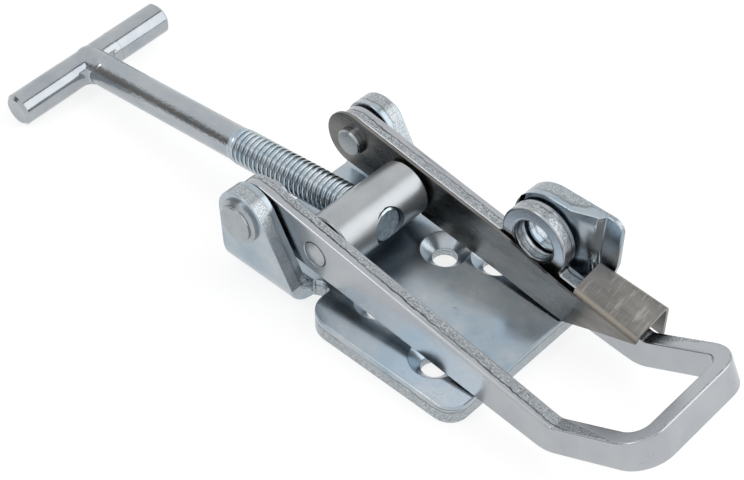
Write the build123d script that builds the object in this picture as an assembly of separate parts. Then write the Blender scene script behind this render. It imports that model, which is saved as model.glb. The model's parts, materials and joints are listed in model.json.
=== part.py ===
from build123d import *
import os
from math import asin, atan, cos, radians, sin

# Over-centre latch with an adjustable T-bolt and a padlock eye, drawn closed, in millimetres.
# Origin: on the lever's pivot line, midway between the arms, level with the base plate's underside.
# +X runs from the pivot to the handle, +Y to the arm with the padlock eye, +Z up.

# base plate, cut from flat bar and bent up
plate_thick = 7.2
plate_left_x = -8.7
plate_right_x = 90.35
wing_left_x = 28.4
wing_half_width = 35.0
wing_left_radius = 9.0
wing_right_radius = 7.0
far_wing_right_x = 69.4
bend_inner_radius = 3.2
ear_outer_y = 33.3
notch_radius = 3.5
notch_centre_y = 25.5
lock_notch_radius = 1.9
lock_bend_inner_radius = 1.2

# countersunk holes for 8 mm screws
screw_hole_radius = 4.2
screw_sink_radius = 8.2
left_screw_x = 43.2
left_screw_y = 15.7
near_screw = (71.5, -21.7)
far_screw = (57.8, 24.0)

# pivot of the lever in the two ears
pivot_z = 26.3
pivot_ear_radius = 9.95
pivot_ear_slope = 30.0
pivot_pin_radius = 4.95
pivot_pin_inner_y = 15.65
pin_head_radius = 7.75
pin_head_edge = 1.0
pin_step_radius = 6.3
pin_step_foot = 0.4
pin_head_top_y = 36.0
pin_top_edge = 0.3
pin_end_edge = 0.6

# padlock eye on the lever and the locking ear beside it
eye_x = 74.4
eye_z = 28.7
eye_outer_radius = 12.26
eye_hole_radius = 7.0
eye_root_radius = 1.2
eye_edge = 0.9
lock_round_x = 75.0
lock_round_z = 29.5
lock_ear_radius = 13.5
lock_ear_top_z = 43.0
lock_ear_right_x = 98.3
lock_ear_corner_radius = 4.5
lock_ear_heel = (98.6, 27.5)
lock_ear_chin = (97.0, 20.4)
lock_lobe_inner_y = 31.3
lock_slope_start_x = 82.7
lock_slope_end = (89.8, 29.0)
recess_mouth_x = 86.8
recess_mouth_bow = 3.4
recess_floor_x = 91.8
recess_low_z = 20.0
recess_middle_z = 31.0

# lever, a strip of even thickness bent into a loop
arm_thick = 5.7
arm_outer_y = 25.35
arm_top_z = 35.4
arm_top_fall = 0.1607
arm_bottom_z = 16.25
arm_bottom_fall = 0.0983
arm_end_radius = 9.5
arm_end_z = 25.82
kink_top_x = 118.3
kink_angle = 28.3
kink_height = 9.85
kink_length = 33.9
kink_inner_radius = 12.0
loop_inner_radius = 5.5

# trunnion that carries the bolt across the arms
trunnion_x = 24.6
trunnion_z = 22.1
barrel_radius = 9.8
barrel_near_y = -19.3
barrel_far_y = 16.8
barrel_edge = 0.5
journal_radius = 4.25
journal_dome = 1.4
journal_edge = 1.7
journal_shoulder = 1.1
running_gap = 0.05

# T-bolt, turned a little on its thread and lying with one end of its bar on the plate's level
bar_radius = 6.0
bar_half_length = 34.1
bar_edge = 1.1
bar_roll = 2.9
bar_forged_half = 11.0
bar_forged_width = 11.8
bar_forged_height = 11.9
bolt_length = 138.5
bolt_y = -1.0
bolt_shank_radius = 5.93
bolt_thread_radius = 6.35
thread_length = 59.6
thread_runout = 3.0
bolt_end_reach = 8.4
web_radius = 5.0
web_thick = 6.0
hub_length = 9.0
hub_radius = 5.6
hub_lift = 0.85

# safety spring on the inside of the far arm, ending in a cap over the arm
spring_thick = 1.0
spring_outer_y = 19.07
spring_end_x = -1.0
spring_end_radius = 10.2
spring_bow_start_x = 58.0
spring_bow_end_x = 92.0
spring_bow = 1.97
spring_top_rise = 0.55
spring_lower_edge = [(30.0, 12.8), (64.0, 9.1), (91.1, 7.9)]
spring_hole_gap = 0.12
cap_left_x = 93.4
cap_right_x = 117.5
cap_top_left_z = 23.6
cap_top_right_z = 19.1
cap_top_tilt = 0.195
cap_left_outer_y = 30.5
cap_right_outer_y = 32.6
cap_wall_lower_edge = [(93.4, 8.8), (101.9, 12.0), (117.5, 17.4)]
cap_skirt_left_z = 14.5
cap_skirt_right_z = 12.6
cap_bend_radius = 2.2

ear_inner_y = ear_outer_y - plate_thick
bend_start_y = ear_inner_y - bend_inner_radius
arm_inner_y = arm_outer_y - arm_thick
bar_centre_z = bar_radius * cos(radians(bar_roll)) + (bar_half_length - bar_edge) * sin(radians(bar_roll))
bolt_droop = asin((trunnion_z - bar_centre_z) / bolt_length)
tall = 60.0


def side_prism(outline, low_y, high_y):
    """A side outline in X and Z, given its width along Y."""
    return extrude(Plane.XZ.offset(-high_y) * outline, amount=high_y - low_y)


def plan_prism(outline, low_z, high_z):
    """A plan outline in X and Y, given its height along Z."""
    return extrude(Plane.XY.offset(low_z) * outline, amount=high_z - low_z)


def polygon(points):
    return make_face(Polyline(*points, close=True))


def disc(x, y, radius):
    return Pos(x, y) * Circle(radius)


def cross_bore(x, z, radius, low_y, high_y):
    """A round hole along Y."""
    return side_prism(disc(x, z, radius), low_y, high_y)


def arm_top(x):
    return arm_top_z - arm_top_fall * x


def arm_bottom(x):
    return arm_bottom_z - arm_bottom_fall * x


def countersink(x, y):
    cone_depth = screw_sink_radius - screw_hole_radius
    cone_z = plate_thick - cone_depth / 2
    hole = Pos(x, y, plate_thick / 2) * Cylinder(screw_hole_radius, 2 * plate_thick)
    cone = Pos(x, y, cone_z) * Cone(screw_hole_radius, screw_sink_radius, cone_depth)
    return hole + cone


def notch(x, y, radius, side):
    """A round-ended slot that opens towards the plate's edge."""
    reach = wing_half_width
    slot = Pos(x, side * (y + reach / 2)) * Rectangle(2 * radius, reach)
    return disc(x, side * y, radius) + slot


def wing(right_x, right_radius, side):
    """Half of the plate that the screws go through, with both its outer corners rounded."""
    width = right_x - wing_left_x
    centre = Pos((wing_left_x + right_x) / 2, side * wing_half_width / 2)
    sheet = centre * Rectangle(width, wing_half_width)
    corners = sheet.vertices().group_by(Axis.Y)[-1 if side > 0 else 0].sort_by(Axis.X)
    sheet = fillet(corners[0], wing_left_radius)
    corners = sheet.vertices().group_by(Axis.Y)[-1 if side > 0 else 0].sort_by(Axis.X)
    return fillet(corners[-1], right_radius)


def plate_outline():
    length = plate_right_x - plate_left_x
    middle = (plate_right_x + plate_left_x) / 2
    outline = Pos(middle, 0) * Rectangle(length, 2 * bend_start_y)
    outline += wing(plate_right_x, wing_right_radius, -1)
    outline += wing(far_wing_right_x, lock_notch_radius, 1)
    for side in (-1, 1):
        outline -= notch(wing_left_x - notch_radius, notch_centre_y, notch_radius, side)
    lock_bend_y = ear_inner_y - lock_bend_inner_radius
    lock_root_x = far_wing_right_x + 2 * lock_notch_radius
    outline += polygon([(lock_root_x, 0), (plate_right_x, 0), (plate_right_x, lock_bend_y),
                        (lock_root_x, lock_bend_y)])
    lock_notch_x = far_wing_right_x + lock_notch_radius
    outline -= notch(lock_notch_x, bend_start_y + lock_notch_radius, lock_notch_radius, 1)
    return outline


def bent_flange(left_x, right_x, inner_radius):
    """The plate bent up at its far edge: flat start, quarter bend and upright."""
    outer_radius = inner_radius + plate_thick
    bend_y = ear_inner_y - inner_radius
    flat = Pos(bend_y - plate_thick / 2, plate_thick / 2) * Rectangle(plate_thick, plate_thick)
    ring = disc(bend_y, outer_radius, outer_radius) - disc(bend_y, outer_radius, inner_radius)
    ring &= Pos(bend_y + outer_radius / 2, outer_radius / 2) * Rectangle(outer_radius, outer_radius)
    upright = Pos(ear_outer_y - plate_thick / 2, outer_radius + tall / 2) * Rectangle(plate_thick, tall)
    return extrude(Plane.YZ.offset(left_x) * (flat + ring + upright), amount=right_x - left_x)


def pivot_ear_outline():
    slope = radians(pivot_ear_slope)
    touch_x = pivot_ear_radius * cos(slope)
    touch_z = pivot_z + pivot_ear_radius * sin(slope)
    root_x = wing_left_x - 2 * notch_radius + 0.1
    root_z = touch_z - (root_x - touch_x) * cos(slope) / sin(slope)
    points = [(plate_left_x, 0), (-pivot_ear_radius, pivot_z), (touch_x, touch_z)]
    points += [(root_x, root_z), (root_x, 0)]
    return polygon(points) + disc(0, pivot_z, pivot_ear_radius)


def lock_ear_outline():
    """Round about the padlock hole, flat on top, and leaning out past the plate's end."""
    slope = radians(pivot_ear_slope)
    touch_x = lock_round_x - lock_ear_radius * cos(slope)
    touch_z = lock_round_z - lock_ear_radius * sin(slope)
    root_x = far_wing_right_x + 2 * lock_notch_radius
    block = polygon([
        (root_x, 0), (root_x, plate_thick), (touch_x, touch_z), (lock_round_x, lock_ear_top_z),
        (lock_ear_right_x, lock_ear_top_z), lock_ear_heel, lock_ear_chin,
        (plate_right_x, plate_thick), (plate_right_x, 0),
    ])
    corner = block.vertices().sort_by_distance((lock_ear_right_x, lock_ear_top_z))[0]
    block = fillet(corner, lock_ear_corner_radius)
    return block + disc(lock_round_x, lock_round_z, lock_ear_radius)


def recess_section(middle_x, bow):
    """Side outline of the recess, open to the right, with a bowed left edge."""
    high_z = lock_ear_top_z + 1
    far_x = lock_ear_right_x + 5
    end_x = middle_x + bow
    return make_face(Wire([
        ThreePointArc((end_x, high_z), (middle_x, recess_middle_z), (end_x, recess_low_z)),
        Line((end_x, recess_low_z), (far_x, recess_low_z)),
        Line((far_x, recess_low_z), (far_x, high_z)),
        Line((far_x, high_z), (end_x, high_z)),
    ]))


def lock_ear_recess():
    """The thinned end of the locking ear, which gives the spring's cap room to pass."""
    far_x = lock_ear_right_x + 5
    front_y = ear_inner_y - 1
    mouth = recess_section(recess_mouth_x, recess_mouth_bow)
    floor = recess_section(recess_floor_x, recess_mouth_bow / 10)
    pocket = loft([Plane.XZ.offset(-ear_inner_y) * mouth, Plane.XZ.offset(-lock_lobe_inner_y) * floor])
    lower_outline = polygon([(plate_right_x, front_y), (recess_floor_x, lock_lobe_inner_y),
                             (far_x, lock_lobe_inner_y), (far_x, front_y)])
    lower = plan_prism(lower_outline, plate_thick, recess_low_z)
    slope_outline = polygon([(lock_slope_start_x, ear_inner_y), lock_slope_end, (far_x, lock_slope_end[1]),
                             (far_x, front_y), (lock_slope_start_x, front_y)])
    slope = plan_prism(slope_outline, eye_z - lock_ear_radius, lock_ear_top_z + 1)
    return pocket + lower + slope


def base_plate():
    body = plan_prism(plate_outline(), 0, plate_thick)
    pivot_ear = bent_flange(plate_left_x - pivot_ear_radius, wing_left_x, bend_inner_radius)
    pivot_ear &= side_prism(pivot_ear_outline(), 0, wing_half_width)
    lock_ear = bent_flange(lock_round_x - lock_ear_radius, lock_ear_right_x, lock_bend_inner_radius)
    lock_ear &= side_prism(lock_ear_outline(), 0, wing_half_width)
    lock_ear -= lock_ear_recess()
    body += pivot_ear
    body += mirror(pivot_ear, about=Plane.XZ)
    body += lock_ear
    body -= cross_bore(0, pivot_z, pivot_pin_radius, -tall, tall)
    body -= cross_bore(eye_x, eye_z, eye_hole_radius, 0, tall)
    for x, y in [(left_screw_x, left_screw_y), (left_screw_x, -left_screw_y), near_screw, far_screw]:
        body -= countersink(x, y)
    return body


def pivot_pin(side):
    """A turned pin with a stepped head on the ear's outer face and a chamfered inner end."""
    edge_y = ear_outer_y + pin_head_edge
    step_y = edge_y + (pin_head_radius - pin_step_radius) / 2
    half = polygon([
        (0, pivot_pin_inner_y), (pivot_pin_radius - pin_end_edge, pivot_pin_inner_y),
        (pivot_pin_radius, pivot_pin_inner_y + pin_end_edge), (pivot_pin_radius, ear_outer_y),
        (pin_head_radius, ear_outer_y), (pin_head_radius, edge_y),
        (pin_step_radius + pin_step_foot, step_y), (pin_step_radius, step_y),
        (pin_step_radius, pin_head_top_y - pin_top_edge),
        (pin_step_radius - pin_top_edge, pin_head_top_y), (0, pin_head_top_y),
    ])
    pin = Pos(0, 0, pivot_z) * revolve(half, Axis.Y)
    return pin if side > 0 else mirror(pin, about=Plane.XZ)


def arm_outline():
    """Side view of an arm: round end, two straight edges that close in, and the kinked handle."""
    top_lean = atan(arm_top_fall)
    bottom_lean = atan(arm_bottom_fall)
    turn = radians(kink_angle)
    top_kink = Vector(kink_top_x, arm_top(kink_top_x))
    along = Vector(cos(turn), sin(turn))
    across = Vector(sin(turn), -cos(turn))
    top_end = top_kink + along * kink_length
    bottom_end = top_end + across * kink_height
    bottom_line = top_kink + across * kink_height
    slope = along.Y / along.X
    bottom_kink_x = (arm_bottom_z - bottom_line.Y + slope * bottom_line.X) / (slope + arm_bottom_fall)
    bottom_kink = (bottom_kink_x, arm_bottom(bottom_kink_x))
    outline = polygon([
        (0, arm_end_z),
        (arm_end_radius * sin(top_lean), arm_end_z + arm_end_radius * cos(top_lean)),
        (top_kink.X, top_kink.Y), (top_end.X, top_end.Y), (bottom_end.X, bottom_end.Y), bottom_kink,
        (-arm_end_radius * sin(bottom_lean), arm_end_z - arm_end_radius * cos(bottom_lean)),
    ])
    corner = outline.vertices().sort_by_distance(bottom_kink)[0]
    outline = fillet(corner, kink_inner_radius)
    return outline + disc(0, arm_end_z, arm_end_radius)


def eye_outline():
    """The padlock eye, with small rounds where it grows out of the arm's top edge."""
    low_x = eye_x - eye_outer_radius
    high_x = eye_x + eye_outer_radius
    strap = polygon([(low_x - 8, arm_top(low_x - 8)), (high_x + 8, arm_top(high_x + 8)),
                     (high_x + 8, arm_top(high_x + 8) - 4), (low_x - 8, arm_top(low_x - 8) - 4)])
    outline = strap + disc(eye_x, eye_z, eye_outer_radius)
    roots = outline.vertices().filter_by(lambda v: low_x - 1 < v.X < high_x + 1)
    roots = roots.filter_by(lambda v: abs(v.Y - arm_top(v.X)) < 0.01)
    return fillet(roots, eye_root_radius)


def handle_frame():
    """A frame that lies along the kinked handle, with Z across it."""
    turn = radians(kink_angle)
    origin = (kink_top_x, 0, arm_top(kink_top_x))
    return Plane(origin=origin, x_dir=(cos(turn), 0, sin(turn)), z_dir=(-sin(turn), 0, cos(turn)))


def handle_loop_inside():
    length = kink_length - arm_thick + tall
    block = Pos(kink_length - arm_thick - length / 2, 0, -kink_height)
    block *= Box(length, 2 * arm_inner_y, tall)
    return fillet(block.edges().filter_by(Axis.Z).group_by(Axis.X)[-1], loop_inner_radius)


def handle_loop_outside():
    length = kink_length + tall
    block = Pos(kink_length - length / 2, 0, 0) * Box(length, 2 * arm_outer_y, 2 * tall)
    return fillet(block.edges().filter_by(Axis.Z).group_by(Axis.X)[-1], loop_inner_radius + arm_thick)


def lever():
    body = side_prism(arm_outline(), -arm_outer_y, arm_outer_y)
    handle = handle_frame().location
    past_kink = side_prism(Pos(kink_top_x + tall, tall / 2) * Rectangle(2 * tall + 40, 4 * tall), -tall, tall)
    body = (body - past_kink) + (body & past_kink & (handle * handle_loop_outside()))
    body -= handle * handle_loop_inside()
    gap = Pos(kink_top_x / 2 - 10, 0, 0) * Box(kink_top_x + 20, 2 * arm_inner_y, 4 * tall)
    body -= gap
    body += side_prism(eye_outline(), arm_inner_y, arm_outer_y)
    body -= cross_bore(eye_x, eye_z, eye_hole_radius, 0, tall)
    rims = body.edges().filter_by(GeomType.CIRCLE).filter_by(lambda e: abs(e.radius - eye_hole_radius) < 0.01)
    body = chamfer(rims, eye_edge)
    body -= cross_bore(0, pivot_z, pivot_pin_radius + running_gap, -tall, tall)
    body -= cross_bore(trunnion_x, trunnion_z, journal_radius + running_gap, -tall, tall)
    return body


def bolt_frame():
    """A frame at the trunnion, with X along the bolt towards its inner end."""
    return Plane(origin=(trunnion_x, bolt_y, trunnion_z), x_dir=(cos(bolt_droop), 0, sin(bolt_droop)),
                 z_dir=(-sin(bolt_droop), 0, cos(bolt_droop)))


def trunnion():
    """A turned cross-bar with domed journals, tapped across for the bolt."""
    inner_radius = barrel_radius - barrel_edge
    barrel = polygon([
        (0, barrel_near_y), (inner_radius, barrel_near_y), (barrel_radius, barrel_near_y + barrel_edge),
        (barrel_radius, barrel_far_y - barrel_edge), (inner_radius, barrel_far_y), (0, barrel_far_y),
    ])
    shoulder = (journal_radius - journal_edge, arm_outer_y + journal_shoulder)
    profile = [(journal_radius, arm_outer_y), shoulder, (0, arm_outer_y + journal_dome)]
    mirrored = [(radius, -y) for radius, y in reversed(profile)]
    section = barrel + polygon(mirrored + profile)
    body = Pos(trunnion_x, 0, trunnion_z) * revolve(section, Axis.Y)
    tapped = Rot(0, 90, 0) * Cylinder(bolt_thread_radius + running_gap, 4 * barrel_radius)
    body -= bolt_frame().location * tapped
    return body


def tee_bolt():
    """Forged T-bolt: round bar across the end, webbed neck, plain shank and a threaded end."""
    neck_x = -bolt_length
    grip_length = bar_half_length - bar_forged_half
    grip = Pos(0, 0, bar_forged_half + grip_length / 2) * Cylinder(bar_radius, grip_length)
    grip = chamfer(grip.edges().filter_by(GeomType.CIRCLE).group_by(Axis.Z)[-1], bar_edge)
    forged = Ellipse(bar_forged_width / 2, bar_forged_height / 2)
    bar = extrude(forged, amount=bar_forged_half, both=True)
    bar = bar + grip + mirror(grip, about=Plane.XY)
    bar = Pos(neck_x, 0, 0) * (Rot(90, 0, 0) * bar)
    thread_start = -thread_length
    shank_length = thread_start - neck_x
    shank = Pos(neck_x + shank_length / 2, 0, 0) * (Rot(0, 90, 0) * Cylinder(bolt_shank_radius, shank_length))
    half = polygon([
        (thread_start, 0), (thread_start, bolt_shank_radius),
        (thread_start + thread_runout, bolt_thread_radius),
        (bolt_end_reach - 1, bolt_thread_radius), (bolt_end_reach, bolt_thread_radius - 1),
        (bolt_end_reach, 0),
    ])
    thread = revolve(half, Axis.X)
    web = Pos(neck_x + tall / 4, 0) * Rectangle(tall / 2, 2 * bolt_shank_radius - 2)
    web += Pos(neck_x, 0) * Rectangle(2 * bar_radius - 2, tall)
    corners = web.vertices().filter_by(lambda v: abs(v.Y) < bolt_shank_radius)
    corners = corners.filter_by(lambda v: v.X < neck_x + bar_radius)
    web = fillet(corners, web_radius)
    web &= Pos(neck_x + bar_radius, 0) * Rectangle(4 * bar_radius, 4 * bar_radius)
    hub = Pos(neck_x + hub_length / 2, 0, hub_lift) * (Rot(0, 90, 0) * Cylinder(hub_radius, hub_length))
    for end_x in (neck_x, neck_x + hub_length):
        hub += Pos(end_x, 0, hub_lift) * Sphere(hub_radius)
    body = bar + shank + thread + hub + extrude(web, amount=web_thick / 2, both=True)
    return bolt_frame().location * (Rot(bar_roll, 0, 0) * body)


def spring_band():
    """Plan of the spring strip: along the arm, then bowed away from it before the cap."""
    left_x = spring_end_x - spring_end_radius - 1

    def edge(outer_y):
        flat_end = (spring_bow_start_x, outer_y)
        bow_end = (spring_bow_end_x, outer_y - spring_bow)
        flat = Line((left_x, outer_y), flat_end)
        bow = Spline(flat_end, bow_end, tangents=[(1, 0), (1, 0)])
        return [flat, bow, Line(bow_end, (cap_left_x, outer_y - spring_bow))]

    outer = edge(spring_outer_y)
    inner = edge(spring_outer_y - spring_thick)
    ends = [Line(outer[0] @ 0, inner[0] @ 0), Line(outer[2] @ 1, inner[2] @ 1)]
    return make_face(Wire(outer + inner + ends))


def spring_outline():
    """Side view of the strip, a little wider than the arm that it lies along."""
    top_z = arm_top(spring_end_x) + spring_top_rise
    end_z = top_z - spring_end_radius
    outline = polygon([
        (spring_end_x, top_z), (cap_left_x, arm_top(cap_left_x) + spring_top_rise), cap_wall_lower_edge[0],
        *reversed(spring_lower_edge), (spring_end_x, end_z - spring_end_radius),
    ])
    return outline + disc(spring_end_x, end_z, spring_end_radius)


def cap_channel(inset, overrun):
    """A solid channel in the cap's form, with its walls and top moved in by the inset."""
    left_x = cap_left_x - overrun
    right_x = cap_right_x + overrun
    inner_y = spring_outer_y - spring_thick - spring_bow
    plan = polygon([(left_x, inner_y + inset), (right_x, inner_y + inset),
                    (right_x, cap_right_outer_y - inset), (left_x, cap_left_outer_y - inset)])
    fall = (cap_top_left_z - cap_top_right_z) / (cap_right_x - cap_left_x)
    lid_frame = Plane(origin=(cap_left_x, inner_y, cap_top_left_z), x_dir=(1, 0, -fall),
                      z_dir=(fall, -cap_top_tilt, 1))
    lid = lid_frame.location * Pos(0, 0, tall / 2 - inset) * Box(4 * tall, 4 * tall, tall)
    block = plan_prism(plan, 0, tall) - lid
    ridges = block.edges().filter_by(lambda e: e.center().Z > cap_top_right_z / 2)
    ridges = ridges.filter_by(lambda e: abs(e.tangent_at(0.5).X) > 0.9)
    return fillet(ridges, cap_bend_radius - inset)


def spring_cap():
    """The strip's end folded over the arm: inner wall, tilted top and outer skirt."""
    shell = cap_channel(0, 0) - cap_channel(spring_thick, 2)
    wall_y = spring_outer_y - spring_bow + cap_bend_radius
    wall_outline = polygon([*cap_wall_lower_edge, (cap_right_x, tall), (cap_left_x, tall)])
    wall_zone = side_prism(wall_outline, 0, wall_y)
    skirt_zone = side_prism(polygon([(cap_left_x, cap_skirt_left_z), (cap_right_x, cap_skirt_right_z),
                                     (cap_right_x, tall), (cap_left_x, tall)]), wall_y, tall)
    return (shell & wall_zone) + (shell & skirt_zone)


def safety_spring():
    strip = plan_prism(spring_band(), 0, tall) & side_prism(spring_outline(), 0, tall)
    body = strip + spring_cap()
    body -= cross_bore(0, pivot_z, pivot_pin_radius + spring_hole_gap, 0, tall)
    body -= cross_bore(trunnion_x, trunnion_z, journal_radius + spring_hole_gap, 0, tall)
    return body


pieces = {
    "base_plate": base_plate(),
    "near_pivot_pin": pivot_pin(-1),
    "far_pivot_pin": pivot_pin(1),
    "lever": lever(),
    "trunnion": trunnion(),
    "tee_bolt": tee_bolt(),
    "safety_spring": safety_spring(),
}

os.makedirs("parts", exist_ok=True)
for name, solid in pieces.items():
    export_step(solid, "parts/" + name + ".step")
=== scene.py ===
import json

import bmesh
import bpy
import numpy as np
from mathutils import Matrix, Vector
from mathutils.bvhtree import BVHTree


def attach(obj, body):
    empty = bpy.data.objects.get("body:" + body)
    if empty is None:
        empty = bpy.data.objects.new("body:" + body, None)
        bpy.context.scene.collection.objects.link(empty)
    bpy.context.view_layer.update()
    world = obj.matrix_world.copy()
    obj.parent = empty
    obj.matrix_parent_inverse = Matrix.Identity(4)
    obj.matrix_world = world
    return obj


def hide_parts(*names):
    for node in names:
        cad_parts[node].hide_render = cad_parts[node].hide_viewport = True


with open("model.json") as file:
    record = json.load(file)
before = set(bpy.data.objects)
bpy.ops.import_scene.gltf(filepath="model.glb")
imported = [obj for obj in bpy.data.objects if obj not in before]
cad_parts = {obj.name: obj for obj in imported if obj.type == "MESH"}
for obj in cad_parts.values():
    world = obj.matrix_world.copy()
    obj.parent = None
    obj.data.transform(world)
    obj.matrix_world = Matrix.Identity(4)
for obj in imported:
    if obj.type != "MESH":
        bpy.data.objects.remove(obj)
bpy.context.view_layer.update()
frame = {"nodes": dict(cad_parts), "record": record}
behaviour = frame["record"]["behaviour"]
print("frame loaded:", len(frame["nodes"]), "nodes")


# the view of the photograph, in metres and degrees
cameraSet = {
    "target": (0.02505, 0.00038, 0.010), "distance": 0.54318,
    "azimuth": 42.68, "elevation": 44.97, "roll": 0.28,
    "lens": 81.46, "sensor": 36.0,
}


def placeCamera(values):
    # the camera looks at the target from a sphere around it, then rolls about its own axis
    azimuth = np.radians(values["azimuth"])
    elevation = np.radians(values["elevation"])
    roll = np.radians(values["roll"])
    outward = np.array([np.sin(azimuth) * np.cos(elevation), -np.cos(azimuth) * np.cos(elevation),
                        np.sin(elevation)])
    level = np.array([np.cos(azimuth), np.sin(azimuth), 0.0])
    upward = np.cross(outward, level)
    right = level * np.cos(roll) + upward * np.sin(roll)
    up = upward * np.cos(roll) - level * np.sin(roll)
    place = np.array(values["target"]) + outward * values["distance"]
    data = bpy.data.cameras.new("camera")
    data.lens = values["lens"]
    data.sensor_width = values["sensor"]
    camera = bpy.data.objects.new("camera", data)
    turned = Matrix((right, up, outward)).transposed().to_4x4()
    camera.matrix_world = Matrix.Translation(place) @ turned
    bpy.context.collection.objects.link(camera)
    bpy.context.scene.camera = camera


placeCamera(cameraSet)
print("camera placed")


def linear(hexText):
    # sRGB hex to linear colour
    parts = np.array([int(hexText[i:i + 2], 16) for i in (1, 3, 5)]) / 255
    values = np.where(parts <= 0.04045, parts / 12.92, ((parts + 0.055) / 1.055) ** 2.4)
    return (*values.tolist(), 1.0)


def addNode(tree, kind, settings=None, links=None):
    # settings go to sockets by name or number, "stops" to a colour ramp, and the rest to the node's own
    # fields; links name the output that each input comes from
    node = tree.nodes.new(kind)
    for key, value in (settings or {}).items():
        if key == "stops":
            for element, (place, colour) in zip(node.color_ramp.elements, value):
                element.position = place
                element.color = linear(colour)
        elif isinstance(key, int) or key in node.inputs:
            node.inputs[key].default_value = value
        else:
            setattr(node, key, value)
    for key, source in (links or {}).items():
        tree.links.new(source, node.inputs[key])
    return node


def newMaterial(name):
    material = bpy.data.materials.new(name)
    material.use_nodes = True
    material.node_tree.nodes.clear()
    return material, material.node_tree


# what every steel finish shares: sizes and heights in mm, and levels and spans of a noise from 0 to 1;
# the real grain is finer than a pixel, so it is drawn coarse enough to blur the reflections
softNoise = {"noise_dimensions": "4D", "W": 0.0, "Roughness": 0.6}       # W is the seed
steelValues = {
    "stretch": (1, 1, 1),                                # less than 1 draws the pattern out along an axis
    "patchSize": 12.0, "patchSpan": (0.34, 0.66), "roughSpan": (0.3, 0.7),
    "waveSize": 4.5, "waveHeight": 0.016, "grainSize": 0.7, "grainHeight": 0.005,
    "pitSize": 1.3, "pitLevel": 0.74, "pitEdge": 0.04, "pitColour": "#8C9296",
    "pitDepth": 3.0,                                     # as many times the height of the grain
}

# what every sheared face shares; a place across it runs from -1 at one rim to 1 at the other
shearedValues = {
    "rimFade": (0.97, 0.90),                             # the marks are gone at the rims themselves
    "wander": 0.8,                                       # how far noise bends the edge of the torn side
    "tornEdge": 0.10, "tornRough": 0.30,                 # how soft its edge is, and its roughness
    "tornGrain": 0.42, "tornSpan": (0.42, 0.60),         # its speckle in mm, from dark to light
    "tornPatch": 26.0, "tornSeed": 3.0,                  # mm between places that tore more or less
    "tornSpread": (0.38, 0.54),
    # the dark line below is painted shade, with no furrow cut in the surface
    "grooveSize": 3.0, "grooveWidth": 0.15,              # its bends in mm, and its half width
    "grooveCore": 0.3,                                   # the share of it that is fully dark
    "grooveSeed": 4.0, "grooveSpread": (0.42, 0.55), "grooveLeast": 0.4,
    "lineColour": "#6E7275", "lineLength": 30.0,         # broken lines, and how long they are in mm
    "lineCount": 3.2, "lineSpan": (0.60, 0.66),
}


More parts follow.
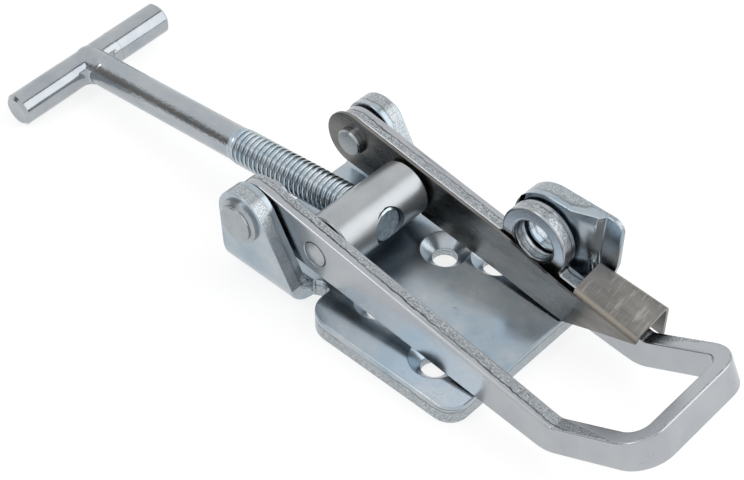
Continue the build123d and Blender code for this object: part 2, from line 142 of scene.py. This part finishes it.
def shearedMarks(tree, values, whole, grain):
    # masks of a sheared face: its torn side, a dark line of painted shade where that meets the smooth side
    # (no furrow in the surface), and the broken lines that rolling left along it
    across = addNode(tree, "ShaderNodeAttribute", {"attribute_name": "across"}).outputs["Fac"]
    axes = addNode(tree, "ShaderNodeSeparateXYZ", links={"Vector": whole})
    level = addNode(tree, "ShaderNodeMath", {"operation": "ABSOLUTE"}, {0: across}).outputs[0]
    inside = addNode(tree, "ShaderNodeMapRange", {"From Min": values["rimFade"][0],
                                                  "From Max": values["rimFade"][1]},
                     {"Value": level}).outputs[0]

    # the torn side ends near tornReach, which moves along the face by tornDrift for each metre of x
    drifted = addNode(tree, "ShaderNodeMath", {"operation": "MULTIPLY_ADD", 1: -values["tornDrift"]},
                      {0: axes.outputs["X"], 2: across}).outputs[0]
    middle = values["tornReach"] + values["wander"] / 2
    wavy = addNode(tree, "ShaderNodeMath", {"operation": "MULTIPLY_ADD", 1: values["wander"]},
                   {0: grain, 2: drifted}).outputs[0]
    outer = addNode(tree, "ShaderNodeMapRange", {"From Min": middle + values["tornEdge"],
                                                 "From Max": middle - values["tornEdge"]},
                    {"Value": wavy}).outputs[0]
    band = addNode(tree, "ShaderNodeMath", {"operation": "MULTIPLY"}, {0: inside, 1: outer}).outputs[0]
    patches = addNode(tree, "ShaderNodeTexNoise", {**softNoise, "W": values["tornSeed"], "Detail": 2.0,
                                                   "Scale": 1000 / values["tornPatch"]},
                      {"Vector": whole}).outputs["Fac"]
    share = addNode(tree, "ShaderNodeMapRange", {"From Min": values["tornSpread"][0],
                                                 "From Max": values["tornSpread"][1],
                                                 "To Min": values["tornLeast"]},
                    {"Value": patches}).outputs[0]
    torn = addNode(tree, "ShaderNodeMath", {"operation": "MULTIPLY"}, {0: band, 1: share}).outputs[0]

    # the line of painted shade follows the same edge with a wander of its own, and is missing here and there
    bends = addNode(tree, "ShaderNodeTexNoise", {**softNoise, "Detail": 3.0,
                                                 "Scale": 1000 / values["grooveSize"]},
                    {"Vector": whole}).outputs["Fac"]
    ragged = addNode(tree, "ShaderNodeMath", {"operation": "MULTIPLY_ADD", 1: values["wander"]},
                     {0: bends, 2: drifted}).outputs[0]
    offset = addNode(tree, "ShaderNodeMath", {"operation": "SUBTRACT", 1: middle}, {0: ragged}).outputs[0]
    distance = addNode(tree, "ShaderNodeMath", {"operation": "ABSOLUTE"}, {0: offset}).outputs[0]
    grooveShade = addNode(tree, "ShaderNodeMapRange", {"From Min": values["grooveWidth"],
                                                  "From Max": values["grooveCore"] * values["grooveWidth"]},
                     {"Value": distance}).outputs[0]
    patches = addNode(tree, "ShaderNodeTexNoise", {**softNoise, "W": values["grooveSeed"], "Detail": 2.0,
                                                   "Scale": 1000 / values["tornPatch"]},
                      {"Vector": whole}).outputs["Fac"]
    kept = addNode(tree, "ShaderNodeMapRange", {"From Min": values["grooveSpread"][0],
                                                "From Max": values["grooveSpread"][1],
                                                "To Min": values["grooveLeast"]},
                   {"Value": patches}).outputs[0]
    for other in (kept, inside):
        grooveShade = addNode(tree, "ShaderNodeMath", {"operation": "MULTIPLY"}, {0: grooveShade, 1: other}).outputs[0]

    # the lines are a noise that is fine across the face and long along it
    along = addNode(tree, "ShaderNodeMath", {"operation": "ADD"},
                    {0: axes.outputs["X"], 1: axes.outputs["Y"]}).outputs[0]
    along = addNode(tree, "ShaderNodeMath", {"operation": "MULTIPLY", 1: 1000 / values["lineLength"]},
                    {0: along}).outputs[0]
    side = addNode(tree, "ShaderNodeMath", {"operation": "MULTIPLY", 1: values["lineCount"]},
                   {0: across}).outputs[0]
    spot = addNode(tree, "ShaderNodeCombineXYZ", links={"X": along, "Y": side}).outputs["Vector"]
    streaks = addNode(tree, "ShaderNodeTexNoise", {**softNoise, "Scale": 1.0, "Detail": 3.0},
                      {"Vector": spot}).outputs["Fac"]
    lines = addNode(tree, "ShaderNodeMapRange", {"From Min": values["lineSpan"][0],
                                                 "From Max": values["lineSpan"][1]},
                    {"Value": streaks}).outputs[0]
    lines = addNode(tree, "ShaderNodeMath", {"operation": "MULTIPLY"}, {0: lines, 1: inside}).outputs[0]
    return torn, grooveShade, lines


def steelMaterial(name, finish, sheared=False, scratched=False):
    # steel, zinc plated or bare: a mirror blurred by grain and gentle waves, with soft patches of colour
    # and a few pits; a sheared face is smooth on one side and torn on the other
    values = {**steelValues, **(shearedValues if sheared else {}), **finish}
    material, tree = newMaterial(name)
    whole = addNode(tree, "ShaderNodeTexCoord").outputs["Object"]
    place = addNode(tree, "ShaderNodeMapping", {"Scale": values["stretch"]},
                    {"Vector": whole}).outputs["Vector"]
    pattern = {}
    for part, detail, source in (("patch", 5.0, place), ("grain", 3.0, place), ("wave", 2.0, place),
                                 ("pit", 1.0, whole)):
        pattern[part] = addNode(tree, "ShaderNodeTexNoise", {**softNoise, "Detail": detail,
                                                             "Scale": 1000 / values[part + "Size"]},
                                {"Vector": source}).outputs["Fac"]
    pitted = addNode(tree, "ShaderNodeMapRange", {"From Min": values["pitLevel"],
                                                  "From Max": values["pitLevel"] + values["pitEdge"]},
                     {"Value": pattern["pit"]}).outputs[0]
    film = addNode(tree, "ShaderNodeValToRGB", {"stops": zip(values["patchSpan"], values["colours"])},
                   {"Fac": pattern["patch"]}).outputs["Color"]
    colour = addNode(tree, "ShaderNodeMix", {"data_type": "RGBA", 7: linear(values["pitColour"])},
                     {0: pitted, 6: film}).outputs[2]
    rough = addNode(tree, "ShaderNodeMapRange", {"From Min": values["roughSpan"][0],
                                                 "From Max": values["roughSpan"][1],
                                                 "To Min": values["rough"][0], "To Max": values["rough"][1]},
                    {"Value": pattern["patch"]}).outputs[0]
    height = addNode(tree, "ShaderNodeMath", {"operation": "MULTIPLY", 1: values["waveHeight"]},
                     {0: pattern["wave"]}).outputs[0]
    for share, source in ((values["grainHeight"], pattern["grain"]),
                          (-values["pitDepth"] * values["grainHeight"], pitted)):
        height = addNode(tree, "ShaderNodeMath", {"operation": "MULTIPLY_ADD", 1: share},
                         {0: source, 2: height}).outputs[0]
    if sheared:
        torn, grooveShade, lines = shearedMarks(tree, values, whole, pattern["grain"])
        drawn = addNode(tree, "ShaderNodeMapping", {"Scale": values["tornStretch"]}, {"Vector": whole})
        speckle = addNode(tree, "ShaderNodeTexNoise", {**softNoise, "Detail": 3.0,
                                                       "Scale": 1000 / values["tornGrain"]},
                          {"Vector": drawn.outputs["Vector"]}).outputs["Fac"]
        stops = zip(values["tornSpan"], values["tornColours"])
        mottled = addNode(tree, "ShaderNodeValToRGB", {"stops": stops}, {"Fac": speckle}).outputs["Color"]
        colour = addNode(tree, "ShaderNodeMix", {"data_type": "RGBA", 7: linear(values["lineColour"])},
                         {0: lines, 6: colour}).outputs[2]
        colour = addNode(tree, "ShaderNodeMix", {"data_type": "RGBA"},
                         {0: torn, 6: colour, 7: mottled}).outputs[2]
        # the dark line along the torn side is painted shade
        colour = addNode(tree, "ShaderNodeMix", {"data_type": "RGBA", 7: linear(values["grooveShadeColour"])},
                         {0: grooveShade, 6: colour}).outputs[2]
        rough = addNode(tree, "ShaderNodeMix", {3: values["tornRough"]}, {0: torn, 2: rough}).outputs[0]
        ridges = addNode(tree, "ShaderNodeMath", {"operation": "MULTIPLY"}, {0: torn, 1: speckle}).outputs[0]
        height = addNode(tree, "ShaderNodeMath", {"operation": "MULTIPLY_ADD", 1: values["tornHeight"]},
                         {0: ridges, 2: height}).outputs[0]
    if scratched:
        drawn = addNode(tree, "ShaderNodeMapping", {"Scale": values["scratchStretch"],
                                                    "Rotation": (0, 0, values["scratchTurn"])},
                        {"Vector": whole})
        strokes = addNode(tree, "ShaderNodeTexNoise", {**softNoise, "W": values["scratchSeed"], "Detail": 2.0,
                                                       "Scale": 1000 / values["scratchSize"]},
                          {"Vector": drawn.outputs["Vector"]}).outputs["Fac"]
        scratches = addNode(tree, "ShaderNodeMapRange", {"From Min": values["scratchSpan"][0],
                                                         "From Max": values["scratchSpan"][1],
                                                         "To Max": values["scratchShare"]},
                            {"Value": strokes}).outputs[0]
        colour = addNode(tree, "ShaderNodeMix", {"data_type": "RGBA", 7: linear(values["scratchColour"])},
                         {0: scratches, 6: colour}).outputs[2]
    # heights are in mm, so the bump's distance is a millimetre
    bump = addNode(tree, "ShaderNodeBump", {"Strength": 1.0, "Distance": 0.001}, {"Height": height})
    shader = addNode(tree, "ShaderNodeBsdfPrincipled", {"Metallic": 1.0},
                     {"Base Color": colour, "Roughness": rough, "Normal": bump.outputs["Normal"]})
    addNode(tree, "ShaderNodeOutputMaterial", links={"Surface": shader.outputs["BSDF"]})
    return material


def gridMesh(name, points):
    # points is an array (rows, columns, 3); each cell of the grid becomes one face
    rows, columns = points.shape[:2]
    index = np.arange(rows * columns).reshape(rows, columns)
    faces = np.stack([index[:-1, :-1], index[:-1, 1:], index[1:, 1:], index[1:, :-1]], axis=-1)
    mesh = bpy.data.meshes.new(name)
    mesh.from_pydata(points.reshape(-1, 3).tolist(), [], faces.reshape(-1, 4).tolist())
    mesh.shade_smooth()
    return mesh


def addPiece(name, mesh, material):
    mesh.materials.clear()
    mesh.materials.append(material)
    piece = bpy.data.objects.new(name, mesh)
    bpy.context.collection.objects.link(piece)
    return piece


def readField(mesh, parts, field, size):
    # one field of every vertex, face or corner as an array with size numbers in a row
    values = np.empty(len(getattr(mesh, parts)) * size)
    getattr(mesh, parts).foreach_get(field, values)
    return values.reshape(-1, size)


# how a dressed copy is made from a CAD solid
copyValues = {
    "weld": 2e-6,            # corners closer than this many metres become one
    "flat": 0.6,             # faces that meet at less than this many degrees become one
    "corner": 30.0,          # edges that turn by more degrees are sharp, and can be rounded
    "crispShare": 0.35,      # what is left of the rounding where the solid has no room for it
    "stray": 0.6,            # a rounded corner is steady within this share of the width from the solid
}


def markSides(mesh, side):
    # "across" is 1 on one skin of the sheet and -1 on the other: the sign of what side(place, normal) sums to
    # over the faces that meet at each corner, so on a sheared face it runs from one rim to the other
    places = readField(mesh, "vertices", "co", 3)
    normals = readField(mesh, "polygons", "normal", 3)
    sizes = readField(mesh, "polygons", "loop_total", 1).astype(int).ravel()
    corners = readField(mesh, "loops", "vertex_index", 1).astype(int).ravel()
    total = np.zeros(len(places))
    np.add.at(total, corners, side(places[corners], np.repeat(normals, sizes, axis=0)))
    across = mesh.attributes.new("across", "FLOAT", "POINT")
    across.data.foreach_set("value", np.sign(total))


def steadyCorners(piece, reach):
    # the bevelled mesh, where a corner that overshoots the solid goes back among its steady neighbours
    solid = bmesh.new()
    solid.from_mesh(piece.data)
    skin = BVHTree.FromBMesh(solid)
    solid.free()
    graph = bpy.context.evaluated_depsgraph_get()
    mesh = bpy.data.meshes.new_from_object(piece.evaluated_get(graph), preserve_all_data_layers=True,
                                           depsgraph=graph)
    shape = bmesh.new()
    shape.from_mesh(mesh)
    astray = {corner for corner in shape.verts if skin.find_nearest(corner.co)[3] > reach}
    while astray:
        known = {corner: [edge.other_vert(corner).co for edge in corner.link_edges
                          if edge.other_vert(corner) not in astray] for corner in astray}
        steady = {corner: near for corner, near in known.items() if near}
        for corner, near in steady.items():
            corner.co = skin.find_nearest(sum(near, Vector()) / len(near))[0]
        astray -= set(steady)
    shape.to_mesh(mesh)
    shape.free()
    mesh.name = piece.name
    return mesh


def roundedCopy(node, name, material, width=0, segments=2, strip=None, side=None, crisp=None):
    # the CAD solid's triangles merged into whole faces, without those that strip(middle) picks; its sharp
    # edges are rounded by width in mm, and less where crisp(middle) says so
    shape = bmesh.new()
    shape.from_mesh(frame["nodes"][node].data)
    bmesh.ops.remove_doubles(shape, verts=shape.verts, dist=copyValues["weld"])
    bmesh.ops.dissolve_limit(shape, angle_limit=np.radians(copyValues["flat"]), verts=shape.verts,
                             edges=shape.edges)
    if strip:
        bmesh.ops.delete(shape, geom=[face for face in shape.faces if strip(face.calc_center_median())],
                         context="FACES")
    corner = np.radians(copyValues["corner"])
    weight = shape.edges.layers.float.new("bevel_weight_edge")
    for edge in shape.edges:
        if len(edge.link_faces) == 2 and edge.calc_face_angle() > corner:
            middle = (edge.verts[0].co + edge.verts[1].co) / 2
            edge[weight] = copyValues["crispShare"] if crisp and crisp(middle) else 1.0
    mesh = bpy.data.meshes.new(name)
    shape.to_mesh(mesh)
    shape.free()
    for layer in list(mesh.attributes):
        if layer.name.startswith("custom_normal"):
            mesh.attributes.remove(layer)
    mesh.shade_smooth()
    mesh.set_sharp_from_angle(angle=corner)
    piece = addPiece(name, mesh, material)
    if width > 0:
        bevel = piece.modifiers.new("edges", "BEVEL")
        bevel.width = width / 1000
        bevel.segments = segments
        bevel.limit_method = "WEIGHT"
        bevel.use_clamp_overlap = False
        bevel.miter_outer = "MITER_ARC"
        bevel.harden_normals = True
        piece.data = steadyCorners(piece, copyValues["stray"] * bevel.width)
        piece.modifiers.clear()
    if side:
        markSides(piece.data, side)
    body = next(body for body, held in behaviour["bodies"].items() if node in held)
    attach(piece, body)
    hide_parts(node)
    return piece


def finishFaces(piece, material, where):
    # another finish on the faces that where(centres, normals) picks
    mesh = piece.data
    centres = readField(mesh, "polygons", "center", 3)
    normals = readField(mesh, "polygons", "normal", 3)
    slots = readField(mesh, "polygons", "material_index", 1).astype(int).ravel()
    slots[where(centres, normals)] = len(mesh.materials)
    mesh.materials.append(material)
    mesh.polygons.foreach_set("material_index", slots)


plateValues = {
    "edge": 0.5,                                         # rounding of the sheared edges in mm
    "skin": 0.0077,                                      # just above the plate's upper skin, in metres
    "sinkRadius": 0.0086,                                # round a countersink, and where they are
    "screws": ((0.0432, 0.0157), (0.0432, -0.0157), (0.0715, -0.0217), (0.0578, 0.024)),
    "recessFoot": (0.0885, 0.0285, 0.0235),              # the corner that it starts from, in metres
    "finish": {
        "colours": ("#96A7B4", "#B4BBC0"), "patchSize": 13.0, "rough": (0.19, 0.28), "grainHeight": 0.018,
        "tornColours": ("#868C90", "#C2C8CB"), "tornHeight": 0.02, "tornLeast": 0.3, "tornStretch": (1, 1, 1),
        "tornReach": 0.4, "tornDrift": 0.0, "grooveShadeColour": "#7C8286",
    },
}


def plateSide(place, normal):
    # positive on the upper skin of the plate and on the inward skin of its ears
    inward = -np.sign(place[:, 1]) * normal[:, 1]
    return np.where(place[:, 2] < plateValues["skin"], normal[:, 2], inward)


def leftCrisp(middle):
    # the countersinks, and the short steps where the recess of the locking ear meets its straight foot
    left, inner, top = plateValues["recessFoot"]
    foot = middle.x > left and middle.y > inner and middle.z < top
    return foot or any(np.hypot(middle.x - x, middle.y - y) < plateValues["sinkRadius"]
                       for x, y in plateValues["screws"])


# zinc plate on hot rolled plate: blue and grey patches with a soft shine, and edges torn by the shear
zincPlate = steelMaterial("zincPlatedSteelPlate", plateValues["finish"], sheared=True)
roundedCopy("base_plate", "bentPlate", zincPlate, plateValues["edge"], side=plateSide, crisp=leftCrisp)
print("plate dressed")


pinValues = {
    "finish": {
        "colours": ("#9CA2A6", "#ABB0B3"), "patchSize": 5.0, "rough": (0.24, 0.34), "grainHeight": 0.008,
    },
}

# zinc plate on upset heads: neutral grey, and duller than the plate
zincPins = steelMaterial("zincPlatedRivetSteel", pinValues["finish"])
roundedCopy("near_pivot_pin", "nearPin", zincPins)
roundedCopy("far_pivot_pin", "farPin", zincPins)
print("pins dressed")


leverValues = {
    "edge": 0.65, "edgeSteps": 3,                        # rounding of the sheared edges in mm
    "gripStart": 0.125,                                  # the grip lies past this x, in metres
    "finish": {
        "colours": ("#A9ADB2", "#B3B6B9"), "rough": (0.18, 0.28),
        "tornColours": ("#777D81", "#BEC4C8"), "tornHeight": 0.035, "tornLeast": 0.6,
        "tornStretch": (0.55, 1, 1), "tornReach": 0.0, "tornDrift": 5.0, "grooveShadeColour": "#383D41",
    },
}


def leverSide(place, normal):
    # positive on the outside of the loop, seen from above: the arms face sideways and the grip along x
    grip = np.where(place[:, 0] > leverValues["gripStart"], normal[:, 0], 0)
    return np.sign(place[:, 1]) * normal[:, 1] + grip


# zinc plate on bent strip: an even, neutral grey, with a dark line of painted shade where its edges tore
zincLever = steelMaterial("zincPlatedSteelStrip", leverValues["finish"], sheared=True)
roundedCopy("lever", "loopLever", zincLever, leverValues["edge"], leverValues["edgeSteps"], side=leverSide)
print("lever dressed")


trunnionValues = {
    "finish": {"colours": ("#A2A7AB", "#B1B4B6"), "rough": (0.31, 0.37), "waveHeight": 0.004},
}

# zinc plate on turned bar: a broad, satin highlight along the barrel
zincTurned = steelMaterial("zincPlatedTurnedSteel", trunnionValues["finish"])
roundedCopy("trunnion", "crossTrunnion", zincTurned)
print("trunnion dressed")


boltValues = {
    "centre": (0.0246, -0.001, 0.0221),                  # where the bolt's axis meets the trunnion's
    "start": -0.0596, "end": 0.0084,                     # of the thread, in metres along the bolt
    "shankRadius": 0.00593, "crestRadius": 0.00632, "rootRadius": 0.00512, "endRadius": 0.00535,
    "pitch": 0.0021167, "runOut": 0.003,                 # half-inch, 12 to the inch
    "flank": 0.95,                                       # how steep the flanks are
    "turnSteps": 72, "profileSteps": 12, "weld": 1e-6,
    "stripShare": 0.8,                                   # the solid's skin lies past this share of endRadius
    "barEdge": -0.1068,                                  # the T-bar lies before this x, in metres
    "forged": {"colours": ("#9FA7AD", "#B2B6B9"), "rough": (0.13, 0.18), "stretch": (0.5, 1, 1),
               "grainSize": 0.9, "grainHeight": 0.14},
    "bar": {"colours": ("#9CA3A9", "#B0B4B7"), "rough": (0.12, 0.17), "waveHeight": 0.003,
            "grainHeight": 0.001, "pitLevel": 0.78},
    "sawn": {"colours": ("#94A6B3", "#D0DCE3"), "patchSize": 1.6, "rough": (0.3, 0.45),
             "grainSize": 0.5, "grainHeight": 0.05},
    "thread": {"colours": ("#A4B2BD", "#BFC6CA"), "patchSize": 6.0, "rough": (0.16, 0.24)},
}
boltAxis = np.array(next(joint["axis"] for joint in behaviour["joints"] if joint["name"] == "bolt_adjust"))


def inThread(point):
    # the solid's plain skin where the thread is cut: past its start, and far enough from the bolt's axis
    offset = np.array(point) - boltValues["centre"]
    along = offset @ boltAxis
    radius = np.linalg.norm(offset - along * boltAxis)
    return along > boltValues["start"] and radius > boltValues["stripShare"] * boltValues["endRadius"]


def threadSurface(values):
    # a rolled thread: radius = root + (crest - root) * w, where w = 0.5 + flank * cos(2 pi phase) is cut off
    # at 0 and 1 and smoothed, and phase = along / pitch - turn / 2 pi; rows follow the helix, so that each
    # crest is one line of the grid
    sideways = np.cross(boltAxis, (0, 1, 0))
    sideways /= np.linalg.norm(sideways)
    other = np.cross(boltAxis, sideways)
    turns = (values["end"] - values["start"]) / values["pitch"] + 1
    steps = int(np.ceil(turns * values["profileSteps"]))
    row, column = np.meshgrid(np.arange(steps + 1), np.arange(values["turnSteps"] + 1), indexing="ij")
    turn = 2 * np.pi * column / values["turnSteps"]
    phase = row / values["profileSteps"]
    along = values["start"] - values["pitch"] + values["pitch"] * (phase + turn / (2 * np.pi))
    along = np.clip(along, values["start"], values["end"])
    wave = np.clip(0.5 + values["flank"] * np.cos(2 * np.pi * phase), 0, 1)
    wave = wave * wave * (3 - 2 * wave)
    radius = values["rootRadius"] + (values["crestRadius"] - values["rootRadius"]) * wave
    # the thread runs out into the shank at its start, and is chamfered at its end
    fade = np.clip((along - values["start"]) / values["runOut"], 0, 1)
    radius = values["shankRadius"] + (radius - values["shankRadius"]) * fade
    radius = np.minimum(radius, values["endRadius"] + values["end"] - along)
    points = (np.array(values["centre"]) + along[..., None] * boltAxis
              + (radius * np.cos(turn))[..., None] * sideways + (radius * np.sin(turn))[..., None] * other)
    mesh = gridMesh("boltThread", points)
    shape = bmesh.new()
    shape.from_mesh(mesh)
    bmesh.ops.remove_doubles(shape, verts=shape.verts, dist=values["weld"])
    bmesh.ops.recalc_face_normals(shape, faces=shape.faces)
    shape.to_mesh(mesh)
    shape.free()
    return mesh


# zinc plate is bright and hammered on the forged shank, a mirror on the drawn bar, finely mottled on the
# sawn end, and blue-grey with clean glints on the rolled thread
zincForged = steelMaterial("zincPlatedForgedSteel", boltValues["forged"])
zincBar = steelMaterial("zincPlatedBrightBar", boltValues["bar"])
zincSawn = steelMaterial("zincPlatedSawnEnd", boltValues["sawn"])
zincThread = steelMaterial("zincPlatedRolledThread", boltValues["thread"])
teeBolt = roundedCopy("tee_bolt", "teeBolt", zincForged, strip=inThread)
finishFaces(teeBolt, zincBar, lambda centre, normal: centre[:, 0] < boltValues["barEdge"])
finishFaces(teeBolt, zincSawn, lambda centre, normal: centre[:, 0] > boltValues["centre"][0])
thread = addPiece("boltThread", threadSurface(boltValues), zincThread)
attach(thread, "tee_bolt")
print("bolt dressed and threaded")


springValues = {
    "capLeft": 0.0934, "capRight": 0.1175,               # the ends of the cap along x, in metres
    "skirtLeft": 0.0145, "skirtRight": 0.0126,           # how high the solid's skirt ends there
    "rimReach": 0.0003, "outerY": 0.029,                 # the rim lies below that and further out
    "drop": 0.0036,                                      # how much lower the open end should reach
    "topTilt": 0.93, "bendTilt": 0.15,                   # least z of the normal on the top and bends
    "wallTilt": 0.3,                                     # least y of the normal on the bends
    "finish": {"colours": ("#6C6B69", "#8C8A87"), "patchSize": 6.0, "rough": (0.22, 0.34),
               "stretch": (0.3, 1, 1), "pitLevel": 0.9,
               "grainSize": 0.5, "grainHeight": 0.004, "waveHeight": 0.006},
    "scratches": {"scratchColour": "#C2BFBA", "scratchShare": 0.5, "scratchSize": 0.75, "scratchSeed": 5.0,
                  "scratchStretch": (1, 0.12, 0.12), "scratchTurn": 0.12, "scratchSpan": (0.54, 0.74)},
    # the bends are lighter: partly wear, partly a painted highlight of the light they catch
    "bends": {"colours": ("#7E7972", "#948E85"), "rough": (0.36, 0.46)},
}


def lowerSkirt(mesh, values):
    # the outer skirt of the cap reaches lower at its open end: z falls by drop * share, where share is 0 at
    # the left end of the cap and 1 at its right end
    places = readField(mesh, "vertices", "co", 3)
    share = np.clip((places[:, 0] - values["capLeft"]) / (values["capRight"] - values["capLeft"]), 0, 1)
    edge = values["skirtLeft"] + share * (values["skirtRight"] - values["skirtLeft"])
    rim = (places[:, 1] > values["outerY"]) & (places[:, 2] < edge + values["rimReach"])
    places[:, 2] -= np.where(rim, values["drop"] * share, 0)
    mesh.vertices.foreach_set("co", places.ravel())
    mesh.update()


def capTop(centre, normal):
    return (centre[:, 0] > springValues["capLeft"]) & (normal[:, 2] > springValues["topTilt"])


def capBends(centre, normal):
    # the outside of both bends, where the top rounds over into the wall and the skirt
    tilted = (normal[:, 2] > springValues["bendTilt"]) & (normal[:, 2] < springValues["topTilt"])
    sideways = np.abs(normal[:, 1]) > springValues["wallTilt"]
    return (centre[:, 0] > springValues["capLeft"]) & tilted & sideways


# bare rolled spring steel: dark and warm, drawn out along the strip, with pale scratches across the cap and
# bends worn dull and painted lighter, partly wear and partly a painted highlight
springSteel = steelMaterial("rolledSpringSteel", springValues["finish"])
springCap = steelMaterial("scratchedSpringSteel", {**springValues["finish"], **springValues["scratches"]},
                          scratched=True)
springBendWearAndSheen = steelMaterial("wornSpringSteelBend", {**springValues["finish"], **springValues["bends"]})
safetyStrip = roundedCopy("safety_spring", "safetyStrip", springSteel)
lowerSkirt(safetyStrip.data, springValues)
finishFaces(safetyStrip, springCap, capTop)
finishFaces(safetyStrip, springBendWearAndSheen, capBends)
print("spring dressed")


# floor, screens and lamps of a small white studio, in metres and degrees; a glow of 1 is paper white
studio = {
    "floorSize": 6.0, "floorHeight": -0.0002, "floorLight": 0.77, "floorColour": "#9A9A9A", "worldLight": 0.6,
    "flagRadius": 0.9, "flagTurn": (216, 241), "flagSteps": 49, "flagHeight": (-0.0001, 1.12),
    "flagColour": "#8A8582",
    "boxes": {
        "rightBox": {"place": (0.775, 0.723, 0.662), "size": (1.35, 1.35), "glow": 1.9, "frame": 0.17},
        "leftBox": {"place": (-0.359, -0.68, 0.96), "size": (0.44, 0.40), "glow": 3.1, "frame": 0},
    },
    "frameColour": "#3A3D42", "frameBehind": 1.02,
}


def seenRays(tree):
    # 1 for a ray from the camera, off a glossy face or through glass, else 0
    path = addNode(tree, "ShaderNodeLightPath")
    first = addNode(tree, "ShaderNodeMath", {"operation": "MAXIMUM"},
                    {0: path.outputs["Is Camera Ray"], 1: path.outputs["Is Glossy Ray"]})
    return addNode(tree, "ShaderNodeMath", {"operation": "MAXIMUM"},
                   {0: first.outputs["Value"], 1: path.outputs["Is Transmission Ray"]}).outputs["Value"]


def studioFloor(values):
    # a flat square: (x, y, floorHeight) for x and y over the floor's size
    half = values["floorSize"] / 2
    x, y = np.meshgrid((-half, half), (-half, half))
    mesh = gridMesh("floor", np.stack([x, y, np.full_like(x, values["floorHeight"])], axis=-1))
    # white paper: matt, and evenly pale wherever it is seen, with the object's shadow on it
    material, tree = newMaterial("whitePaperFloor")
    paper = addNode(tree, "ShaderNodeBsdfDiffuse", {"Color": linear(values["floorColour"])})
    glow = addNode(tree, "ShaderNodeEmission", {"Color": (1, 1, 1, 1), "Strength": values["floorLight"]})
    seen = addNode(tree, "ShaderNodeAddShader", links={0: paper.outputs[0], 1: glow.outputs[0]})
    mixed = addNode(tree, "ShaderNodeMixShader", links={"Fac": seenRays(tree), 1: paper.outputs[0],
                                                        2: seen.outputs[0]})
    addNode(tree, "ShaderNodeOutputMaterial", links={"Surface": mixed.outputs[0]})
    addPiece("floor", mesh, material)


def hiddenCard(name, mesh, colour):
    # a card that glows evenly in its own colour though it is no lamp, and that only reflections show
    material, tree = newMaterial(name + "Felt")
    felt = addNode(tree, "ShaderNodeEmission", {"Color": linear(colour)})
    addNode(tree, "ShaderNodeOutputMaterial", links={"Surface": felt.outputs[0]})
    card = addPiece(name, mesh, material)
    card.visible_camera = False
    card.visible_shadow = False
    card.visible_diffuse = False


def studioFlag(values):
    # a grey curved screen to the left of the view, a card that glows: (r cos t, r sin t, z)
    turn, height = np.meshgrid(np.radians(np.linspace(*values["flagTurn"], values["flagSteps"])),
                               values["flagHeight"])
    radius = values["flagRadius"]
    points = np.stack([radius * np.cos(turn), radius * np.sin(turn), height], axis=-1)
    hiddenCard("flag", gridMesh("flag", points), values["flagColour"])


def softBox(name, box, values):
    # a soft box that faces the object; its power follows from the glow that its face shows
    place, size = box["place"], box["size"]
    turned = (-Vector(place).normalized()).to_track_quat("-Z", "Y")
    data = bpy.data.lights.new(name, "AREA")
    data.shape = "RECTANGLE"
    data.size, data.size_y = size
    data.energy = box["glow"] * np.pi * size[0] * size[1]
    lamp = bpy.data.objects.new(name, data)
    lamp.location = place
    lamp.rotation_euler = turned.to_euler()
    bpy.context.collection.objects.link(lamp)
    if box["frame"] > 0:
        # its dark frame lies just behind: place + a * across + b * upward, for a and b over both
        across, upward = (np.array(turned @ Vector(axis)) for axis in ((1, 0, 0), (0, 1, 0)))
        a, b = np.meshgrid((-0.5, 0.5), (-0.5, 0.5))
        corners = (np.array(place) * values["frameBehind"]
                   + a[..., None] * across * (size[0] + 2 * box["frame"])
                   + b[..., None] * upward * (size[1] + 2 * box["frame"]))
        hiddenCard(name + "Frame", gridMesh(name + "Frame", corners), values["frameColour"])


def studioWorld(values):
    # an even sky: worldLight on the object, and 1, which is white, wherever it is seen
    world = bpy.data.worlds.new("studio")
    bpy.context.scene.world = world
    world.use_nodes = True
    tree = world.node_tree
    tree.nodes.clear()
    strength = addNode(tree, "ShaderNodeMapRange", {"To Min": values["worldLight"], "To Max": 1.0},
                       {"Value": seenRays(tree)})
    light = addNode(tree, "ShaderNodeBackground", {"Color": (1, 1, 1, 1)},
                    {"Strength": strength.outputs["Result"]})
    addNode(tree, "ShaderNodeOutputWorld", links={"Surface": light.outputs[0]})


studioFloor(studio)
studioFlag(studio)
studioWorld(studio)
for name, box in studio["boxes"].items():
    softBox(name, box, studio)
bpy.context.scene.view_settings.view_transform = "Standard"
print("studio lit")
